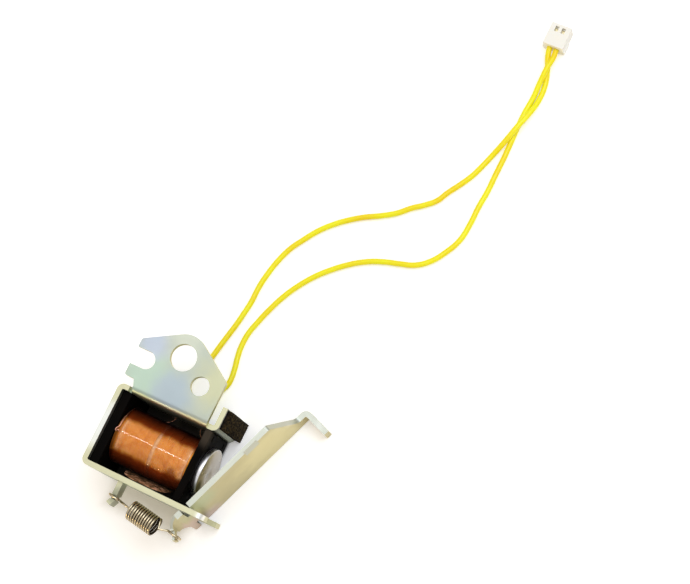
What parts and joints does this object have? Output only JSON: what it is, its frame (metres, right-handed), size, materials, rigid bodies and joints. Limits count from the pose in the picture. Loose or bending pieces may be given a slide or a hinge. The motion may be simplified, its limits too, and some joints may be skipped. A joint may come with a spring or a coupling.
{
  "type": "clapper solenoid",
  "caption": "Printer solenoid with a taped coil in a bent steel yoke, a hinged spring-returned armature with an arm and lip, a slotted mounting plate, and leads to a small connector.",
  "frame": {"origin": "centre of the mounting plate's large hole, on the plate's upper face", "axes": "+X along the coil towards the pole face, +Y from the hinge leg towards the mounting plate, +Z out of the plate's upper face, with the part lying on the yoke's lower edges 15 mm below"},
  "size_m": [0.0511, 0.1333, 0.015],
  "materials": {
    "zinc_steel": "zinc plated sheet with pale iridescent passivation",
    "core_steel": "bright plated turned steel",
    "black_plastic": "satin black moulding",
    "copper_wire": "enamelled copper",
    "clear_tape": "clear glossy film",
    "magnet_wire": "enamelled copper",
    "solder": "bright solder",
    "adhesive": "film adhesive",
    "foam": "open-cell black foam",
    "yellow_zinc_steel": "zinc plated sheet with yellowish passivation",
    "spring_steel": "drawn spring wire",
    "yellow_insulation": "smooth insulation",
    "tinned_copper": "bare strands",
    "white_plastic": "natural white moulding",
    "contact_brass": "plated brass strip"
  },
  "bodies": {
    "yoke": {"yoke_frame": "zinc_steel", "core": "core_steel", "bobbin": "black_plastic", "coil_winding": "copper_wire", "coil_tape": "clear_tape", "start_tail": "magnet_wire", "finish_tail": "magnet_wire", "solder_joint_1": "solder", "solder_joint_2": "solder", "pad_adhesive": "adhesive", "stop_pad": "foam", "return_spring": "spring_steel", "lead_wire_1": "yellow_insulation", "lead_wire_2": "yellow_insulation", "lead_conductor_1": "tinned_copper", "lead_conductor_2": "tinned_copper", "connector_housing": "white_plastic", "crimp_contact_1": "contact_brass", "crimp_contact_2": "contact_brass"},
    "clapper": {"armature": "yellow_zinc_steel"}
  },
  "joints": [
    {"name": "armature_hinge", "type": "hinge", "parent": "yoke", "child": "clapper", "pos_m": [0.0137, -0.0273, -0.0075], "axis": [0, 0, 1], "range_deg": [0, 18], "stiffness_Nm_per_rad": 0.0115, "springref_deg": -31.51, "deforming": ["return_spring"]}
  ]
}
